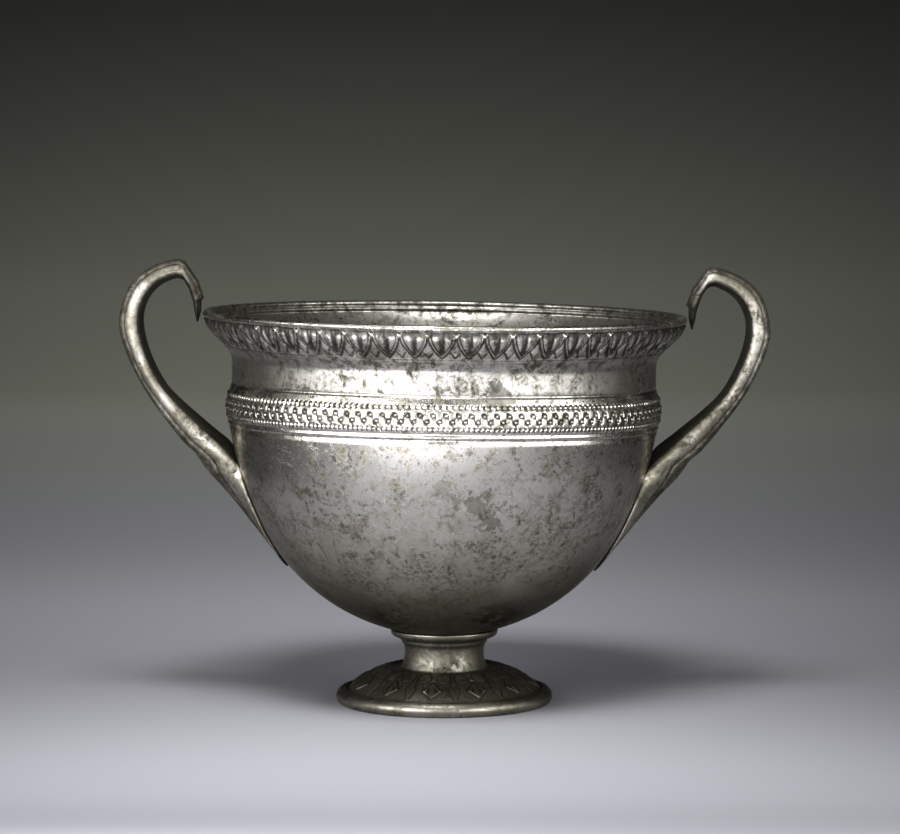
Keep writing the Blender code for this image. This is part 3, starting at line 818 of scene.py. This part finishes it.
def make_foot(material):
    bm = turned_mesh(foot_zones())
    seat = [vert for vert in bm.verts if abs(vert.co.z - FOOT_HEIGHT) < MERGE_DISTANCE]
    bmesh.ops.bridge_loops(bm, edges=[edge for edge in bm.edges if edge.is_boundary])
    patina_and_painted_shade = bm.verts.layers.float["patina_and_painted_shade"]
    # Painted shade: the stem and the ring under the bowl are darkened
    for vert in bm.verts:
        if vert.co.z > STEM_FOOT_HEIGHT and vert.co.xy.length < SEAT_RADIUS - 0.0004:
            vert[patina_and_painted_shade] = STEM_PAINTED_SHADE
    for vert in seat:
        vert.co.z = seat_height(vert.co.x, vert.co.y)
    return finish_piece("worked_foot", bm, material, "foot")


def body_radius_at(height):
    """Outer radius of the bowl's body at a height, from its profile."""
    for (upper_radius, upper), (lower_radius, lower) in zip(BODY_CURVE, BODY_CURVE[1:]):
        if lower <= height <= upper:
            share = (upper - height) / (upper - lower)
            return upper_radius + (lower_radius - upper_radius) * share
    return SHOULDER_RADIUS


def over_body(height, side, rise):
    """Point over the bowl's body at a height and a distance to one side, raised by the gap and a rise."""
    step = 0.0005
    lean = (body_radius_at(height + step) - body_radius_at(height - step)) / (2 * step)
    square = Vector((1.0, -lean)).normalized()
    radius = body_radius_at(height) + square.x * (SEAT_GAP + rise)
    return Vector((math.sqrt(radius ** 2 - side ** 2), side, height + square.y * (SEAT_GAP + rise)))


def bar_section(station):
    """Half of a bar's section, from the middle of its outer face to its inner keel."""
    outer_x, outer_z, inner_x, inner_z, depth = station
    outer = Vector((outer_x, 0.0, outer_z))
    across = Vector((inner_x, 0.0, inner_z)) - outer
    section = HANDLE_FACE + HANDLE_UNDERSIDE
    return [outer + across * share + Vector((0.0, depth * side, 0.0)) for share, side in section]


def plate_section(station, spread):
    """Half of the plate's section: a ridge on the outside, the bowl's own curve underneath."""
    centre, side_drop, rise, side_width = station
    centre_height = PLATE_TOP_HEIGHT - centre * PLATE_LENGTH
    edge_height = PLATE_TOP_HEIGHT - side_drop * PLATE_LENGTH
    width = side_width * PLATE_HALF_WIDTH
    ridge = over_body(centre_height, 0.0, rise * PLATE_RISE)
    edge = over_body(edge_height, width, PLATE_EDGE)
    points = []
    for across, side in HANDLE_FACE:
        share = across / HANDLE_FACE[-1][0]
        point = ridge.lerp(edge, share)
        point.y = width * (side + (share - side) * spread)
        points.append(point)
    for step in range(len(HANDLE_UNDERSIDE)):
        share = step / (len(HANDLE_UNDERSIDE) - 1)
        height = edge_height + (centre_height - edge_height) * share
        points.append(over_body(height, width * (1.0 - share), 0.0))
    return points


def moved(stations, x, z):
    """Stations in metres, from shares of the handle's span, moved to a place."""
    scaled = [[share * HANDLE_SPAN for share in station] for station in stations]
    return [(a + x, b + z, c + x, d + z, depth) for a, b, c, d, depth in scaled]


def handle_sections():
    """Half sections of a handle: its down-turned end, then its loop, arm and plate."""
    end = [bar_section(station) for station in moved(HANDLE_END_STATIONS, RIM_RADIUS, BOWL_HEIGHT)]
    rest = moved(HANDLE_END_STATIONS[-1:] + HANDLE_LOOP_STATIONS, RIM_RADIUS, BOWL_HEIGHT)
    rest += moved(HANDLE_ARM_STATIONS, body_radius_at(PLATE_TOP_HEIGHT), PLATE_TOP_HEIGHT)
    rest = [bar_section(station) for station in rest]
    for index, station in enumerate(PLATE_STATIONS):
        rest.append(plate_section(station, min((index + 1) / PLATE_SPREAD_STATIONS, 1.0)))
    return end, rest


def smooth_sections(sections, steps):
    """Sections on smooth curves through the same point of each given section."""
    tracks = [curve_through(track, steps) for track in zip(*sections)]
    return [[Vector(point) for point in section] for section in zip(*tracks)]


def straight_sections(sections, steps):
    """Sections on straight runs between the given sections, but for the last."""
    between = []
    for section, following in zip(sections, sections[1:]):
        for step in range(steps):
            between.append([a.lerp(b, step / steps) for a, b in zip(section, following)])
    return between


def handle_mesh(side):
    """A handle lofted through its sections, on the side of X given by 1 or -1."""
    bm = bmesh.new()
    patina_and_painted_shade = bm.verts.layers.float.new("patina_and_painted_shade")
    end, rest = handle_sections()
    halves = straight_sections(end, 4) + smooth_sections(rest, STEPS_PER_STATION)
    loops = []
    for position, half in enumerate(halves):
        at_end = 0.62 * smooth_share(26.0, 16.0, position) + 0.38 * smooth_share(10.0, 0.0, position)
        front = [Vector((side * point.x, -point.y, point.z)) for point in half]
        back = [Vector((side * point.x, point.y, point.z)) for point in half[-2:0:-1]]
        ring = [bm.verts.new(point) for point in front + back]
        for index, vert in enumerate(ring):
            step = min(index, len(ring) - index)
            in_groove = 0.8 if step == 7 else 0.55 if step in (6, 8) else 0.0
            on_strip = 0.36 + 0.24 * smooth_share(9.0, 4.0, step)
            # The groove and the outer strip are tarnish; the darkening of the inner side, from step 14 of the
            # half section on, is painted shade
            vert[patina_and_painted_shade] = max(in_groove, on_strip, at_end, smooth_share(14.0, 16.0, step))
        loops.append([bm.edges.new(pair) for pair in zip(ring, ring[1:] + ring[:1])])
    for loop, following in zip(loops, loops[1:]):
        bmesh.ops.bridge_loops(bm, edges=loop + following)
    bmesh.ops.contextual_create(bm, geom=loops[0])
    bmesh.ops.contextual_create(bm, geom=loops[-1])
    return bm


def make_handle(name, side, material):
    bm = handle_mesh(side)
    bmesh.ops.transform(bm, matrix=bowl_place(), verts=bm.verts)
    return finish_piece("cast_" + name, bm, material, name)


def add_node(tree, kind, inputs=None, **settings):
    """Add a shader node, set it, and link or fill its inputs."""
    made = tree.nodes.new(kind)
    for name, value in settings.items():
        setattr(made, name, value)
    for name, value in (inputs or {}).items():
        if isinstance(value, bpy.types.NodeSocket):
            tree.links.new(value, made.inputs[name])
        else:
            made.inputs[name].default_value = value
    return made


def add_noise(tree, where, scale, detail, roughness, distortion):
    inputs = {"Vector": where, "Scale": scale, "Detail": detail, "Roughness": roughness}
    inputs["Distortion"] = distortion
    return add_node(tree, "ShaderNodeTexNoise", inputs).outputs["Fac"]


def add_range(tree, value, low, high, to_low=0.0, to_high=1.0):
    inputs = {"Value": value, "From Min": low, "From Max": high, "To Min": to_low, "To Max": to_high}
    return add_node(tree, "ShaderNodeMapRange", inputs, interpolation_type="SMOOTHSTEP").outputs["Result"]


def add_math(tree, operation, first, second, clamp=False):
    made = add_node(tree, "ShaderNodeMath", {0: first, 1: second}, operation=operation, use_clamp=clamp)
    return made.outputs[0]


def times(tree, first, second):
    return add_math(tree, "MULTIPLY", first, second)


def absolute(tree, value):
    return add_math(tree, "ABSOLUTE", value, 0.0)


def add_mix(tree, share, first, second):
    made = tree.nodes.new("ShaderNodeMix")
    made.data_type = "RGBA"
    for index, value in ((0, share), (6, first), (7, second)):
        if isinstance(value, bpy.types.NodeSocket):
            tree.links.new(value, made.inputs[index])
        else:
            made.inputs[index].default_value = value
    return made.outputs[2]


def multiplied(tree, first, second):
    made = add_node(tree, "ShaderNodeMix", data_type="RGBA", blend_type="MULTIPLY")
    made.inputs[0].default_value = 1.0
    tree.links.new(first, made.inputs[6])
    tree.links.new(second, made.inputs[7])
    return made.outputs[2]


def new_group(name, inputs, outputs):
    """A shader node group with float, vector and colour sockets."""
    tree = bpy.data.node_groups.new(name, "ShaderNodeTree")
    for socket, kind, value in inputs:
        made = tree.interface.new_socket(name=socket, in_out="INPUT", socket_type=kind)
        if value is not None:
            made.default_value = value
    for socket, kind in outputs:
        tree.interface.new_socket(name=socket, in_out="OUTPUT", socket_type=kind)
    return tree, add_node(tree, "NodeGroupInput"), add_node(tree, "NodeGroupOutput")


def tarnish_group():
    """Colour, roughness and relief of tarnished silver: mottling, dark threads, stains and dark recesses,
    part patina and part painted shade, and a darkening towards the bottom that is part tarnish and part
    painted shade.
    """
    inputs = [
        ("Position", "NodeSocketVector", None),
        ("Patina_And_Painted_Shade", "NodeSocketFloat", 0.0),
        ("Stain", "NodeSocketFloat", 0.0),
        ("Film", "NodeSocketFloat", 0.4),
        ("Stains", "NodeSocketFloat", 0.5),
        ("Low", "NodeSocketFloat", 0.0),
        ("Dull", "NodeSocketFloat", 0.0),
    ]
    outputs = [
        ("Color", "NodeSocketColor"), ("Roughness", "NodeSocketFloat"), ("Height", "NodeSocketFloat"),
    ]
    tree, given, result = new_group("tarnish", inputs, outputs)
    position, patina_and_painted_shade, strength = given.outputs["Position"], given.outputs["Patina_And_Painted_Shade"], given.outputs["Low"]
    cloud, patch, blot, speckle, grain, thread = (
        add_noise(tree, position, *noise_of) for noise_of in (CLOUD, PATCH, BLOT, SPECKLE, GRAIN, THREAD)
    )
    height_of = add_node(tree, "ShaderNodeSeparateXYZ", {0: position}).outputs["Z"]
    # Darker towards the bottom, as strong as the Low input: part tarnish, part painted shade under the bowl
    low = times(tree, add_range(tree, height_of, 0.080, 0.030), strength)
    underside = times(tree, add_range(tree, height_of, 0.046, 0.022), strength)
    film = times(tree, add_range(tree, cloud, 0.36, 0.64, 0.4, 1.0), given.outputs["Film"])
    film = add_math(tree, "ADD", film, low, True)
    mottle = times(tree, add_range(tree, blot, 0.45, 0.62), add_range(tree, patch, 0.38, 0.56, 0.25, 1.0))
    pepper = times(tree, add_range(tree, speckle, 0.50, 0.58), add_range(tree, patch, 0.46, 0.58, 0.08, 1.0))
    off_line = absolute(tree, add_math(tree, "SUBTRACT", thread, 0.5))
    on_line = add_range(tree, off_line, 0.001, 0.010, 1.0, 0.0)
    threads = times(tree, on_line, add_range(tree, cloud, 0.40, 0.50))
    uneven = add_math(tree, "SUBTRACT", blot, 0.5)
    ragged = add_math(tree, "ADD", given.outputs["Stain"], times(tree, uneven, 1.5))
    level = add_math(tree, "MULTIPLY_ADD", given.outputs["Stains"], -0.10)
    level.node.inputs[2].default_value = 0.68
    mixed = add_math(tree, "ADD", times(tree, patch, 0.62), times(tree, blot, 0.38))
    stain = add_range(tree, add_math(tree, "SUBTRACT", mixed, level), -0.012, 0.016)
    stain = add_math(tree, "MAXIMUM", stain, add_range(tree, ragged, 0.50, 0.58))
    color = add_mix(tree, mottle, BRIGHT_METAL, DULL_METAL)
    color = add_mix(tree, film, color, FILM_COLOR)
    color = add_mix(tree, times(tree, stain, 0.72), color, STAIN_COLOR)
    color = add_mix(tree, times(tree, underside, 0.75), color, UNDERSIDE_TARNISH_AND_SHADE_COLOR)
    flecks = add_math(tree, "MAXIMUM", times(tree, pepper, 0.75), times(tree, threads, 0.80))
    color = add_mix(tree, flecks, color, FLECK_COLOR)
    # Dark of the recess attribute: patina in the worked hollows, painted shade inside the bowl, on the stem
    # and on the handles' inner sides
    dark = add_range(tree, add_math(tree, "ADD", patina_and_painted_shade, times(tree, uneven, 0.7)), 0.20, 0.78)
    color = add_mix(tree, times(tree, dark, 0.94), color, PATINA_AND_SHADE_COLOR)
    roughness = add_math(tree, "ADD", given.outputs["Dull"], 0.17)
    for part, share in ((film, 0.10), (stain, 0.14), (mottle, 0.10), (speckle, 0.10), (dark, 0.25)):
        roughness = add_math(tree, "ADD", roughness, times(tree, part, share))
    height = times(tree, flecks, -0.4)
    for part, share in ((grain, 0.30), (speckle, 0.35), (patch, 0.25)):
        height = add_math(tree, "ADD", height, times(tree, part, share))
    tree.links.new(color, result.inputs["Color"])
    tree.links.new(roughness, result.inputs["Roughness"])
    tree.links.new(height, result.inputs["Height"])
    return tree


def tarnished_silver(name, group, film, stains, low, dull, relief):
    """A silver whose film, stains, unevenness and darkening towards the bottom, part tarnish and part painted
    shade, have their own strengths.
    """
    material = bpy.data.materials.new(name)
    material.use_nodes = True
    tree = material.node_tree
    shader = tree.nodes["Principled BSDF"]
    inputs = {
        "Position": add_node(tree, "ShaderNodeTexCoord").outputs["Object"],
        "Patina_And_Painted_Shade": add_node(tree, "ShaderNodeAttribute", attribute_name="patina_and_painted_shade").outputs["Fac"],
        "Stain": add_node(tree, "ShaderNodeAttribute", attribute_name="stain").outputs["Fac"],
    }
    tarnish = add_node(tree, "ShaderNodeGroup", node_tree=group)
    for socket, value in inputs.items():
        tree.links.new(value, tarnish.inputs[socket])
    for socket, value in (("Film", film), ("Stains", stains), ("Low", low), ("Dull", dull)):
        tarnish.inputs[socket].default_value = value
    relief_inputs = {"Height": tarnish.outputs["Height"], "Distance": relief, "Strength": 0.6}
    bump = add_node(tree, "ShaderNodeBump", relief_inputs)
    tree.links.new(tarnish.outputs["Color"], shader.inputs["Base Color"])
    tree.links.new(tarnish.outputs["Roughness"], shader.inputs["Roughness"])
    tree.links.new(bump.outputs["Normal"], shader.inputs["Normal"])
    shader.inputs["Metallic"].default_value = 1.0
    shader.inputs["Specular Tint"].default_value = GRAZING_TINT
    return material


def add_tones(tree, value, tones):
    """A grey ramp over a value, given as places along it and their tones."""
    low, high = tones[0][0], tones[-1][0]
    share = add_node(tree, "ShaderNodeMapRange", {"Value": value, "From Min": low, "From Max": high})
    ramp = add_node(tree, "ShaderNodeValToRGB", {"Fac": share.outputs["Result"]})
    ramp.color_ramp.interpolation = "B_SPLINE"
    for place, _ in tones[1:-1]:
        ramp.color_ramp.elements.new((place - low) / (high - low))
    for element, (place, tone) in zip(ramp.color_ramp.elements, tones):
        element.position = (place - low) / (high - low)
        element.color = (tone, tone, tone, 1.0)
    return ramp.outputs["Color"]


def make_set():
    """A sheet of paper: a pale floor that sweeps up behind, with painted light and shade: its tones change
    along the floor and darken to the sides and upwards.
    """
    bm = bmesh.new()
    bmesh.ops.create_grid(bm, x_segments=1, y_segments=1, size=1.0)
    bmesh.ops.scale(bm, vec=(PAPER_HALF_WIDTH, PAPER_HALF_DEPTH, 1.0), verts=bm.verts)
    back = [edge for edge in bm.edges if all(vert.co.y > 0 for vert in edge.verts)]
    raised = bmesh.ops.extrude_edge_only(bm, edges=back)["geom"]
    top = [item for item in raised if isinstance(item, bmesh.types.BMVert)]
    bmesh.ops.translate(bm, vec=(0.0, 0.0, PAPER_HEIGHT), verts=top)
    fold = [edge for edge in bm.edges if all(vert.co.y > 0 and vert.co.z < 0.1 for vert in edge.verts)]
    bmesh.ops.bevel(
        bm, geom=fold, offset=SWEEP_RADIUS, offset_type="OFFSET", segments=SWEEP_STEPS, profile=0.5,
        affect="EDGES", material=-1,
    )
    mesh = bpy.data.meshes.new("backdrop")
    bm.to_mesh(mesh)
    bm.free()
    mesh.shade_smooth()
    material = bpy.data.materials.new("paper")
    material.use_nodes = True
    tree = material.node_tree
    shader = tree.nodes["Principled BSDF"]
    position = add_node(tree, "ShaderNodeTexCoord").outputs["Object"]
    place = add_node(tree, "ShaderNodeSeparateXYZ", {0: position}).outputs
    # Painted light and shade along the floor, and painted shade darkening up the sweep
    floor = add_tones(tree, place["Y"], FLOOR_PAINTED_LIGHT_AND_SHADE)
    height = add_math(tree, "MAXIMUM", place["Z"], 0.0)
    sweep = add_tones(tree, add_math(tree, "SQRT", height, 0.0), SWEEP_PAINTED_SHADE)
    # Painted shade: the paper darkens to the sides of the camera's view, at and behind the cup
    depth = add_math(tree, "ADD", add_math(tree, "MAXIMUM", place["Y"], -0.3), 1.04)
    slant = add_math(tree, "DIVIDE", place["X"], depth)
    behind = add_range(tree, place["Y"], -0.36, -0.04)
    aside = absolute(tree, add_math(tree, "ADD", slant, 0.026))
    side_painted_shade = times(tree, add_range(tree, aside, 0.0, 0.36, 0.0, 0.95), behind)
    outer_painted_shade = times(tree, add_range(tree, absolute(tree, slant), 0.128, 0.20, 0.0, 0.88), behind)
    tint = add_mix(tree, add_range(tree, place["Y"], 0.15, 1.25), FLOOR_TINT, SWEEP_TINT)
    paper = multiplied(tree, multiplied(tree, floor, sweep), tint)
    paper = add_mix(tree, add_math(tree, "MAXIMUM", side_painted_shade, outer_painted_shade), paper, PAPER_SHADE)
    tree.links.new(paper, shader.inputs["Base Color"])
    shader.inputs["Roughness"].default_value = 0.9
    shader.inputs["Specular IOR Level"].default_value = 0.1
    mesh.materials.append(material)
    backdrop = bpy.data.objects.new("backdrop", mesh)
    bpy.context.scene.collection.objects.link(backdrop)


def add_softbox(name, place, target, size, power, spread):
    light = bpy.data.lights.new(name, "AREA")
    light.shape = "RECTANGLE"
    light.size, light.size_y = size
    light.energy = power
    light.spread = math.radians(spread)
    lamp = bpy.data.objects.new(name, light)
    lamp.location = place
    lamp.rotation_euler = (Vector(target) - Vector(place)).to_track_quat("-Z", "Y").to_euler()
    bpy.context.scene.collection.objects.link(lamp)


def light_set():
    for name, settings in SOFTBOXES.items():
        add_softbox(name, *settings)
    world = bpy.data.worlds.new("studio")
    world.use_nodes = True
    world.node_tree.nodes["Background"].inputs["Color"].default_value = STUDIO_GLOW
    bpy.context.scene.world = world
    bpy.context.scene.view_settings.view_transform = "Standard"


def set_camera():
    camera_data = bpy.data.cameras.new("camera")
    camera_data.sensor_width = 36.0
    camera_data.lens = CAMERA_LENS
    camera = bpy.data.objects.new("camera", camera_data)
    camera.location = CAMERA_PLACE
    camera.rotation_euler = (math.pi / 2 - CAMERA_PITCH, 0.0, 0.0)
    bpy.context.scene.collection.objects.link(camera)
    bpy.context.scene.camera = camera


BODY_CURVE = [(SHOULDER_RADIUS, LOWER_GROOVE)] + round_body(0.0, 24, 48)

tarnish = tarnish_group()
raised_silver = tarnished_silver(
    "bowl_silver", tarnish, film=0.20, stains=0.6, low=0.85, dull=0.0, relief=0.00006,
)
turned_silver = tarnished_silver(
    "foot_silver", tarnish, film=1.05, stains=0.7, low=0.3, dull=0.06, relief=0.00010,
)
cast_silver = tarnished_silver(
    "handle_silver", tarnish, film=1.30, stains=0.9, low=0.0, dull=0.12, relief=0.00024,
)
make_bowl(raised_silver)
make_foot(turned_silver)
make_handle("handle_left", -1, cast_silver)
make_handle("handle_right", 1, cast_silver)
make_set()
light_set()
set_camera()
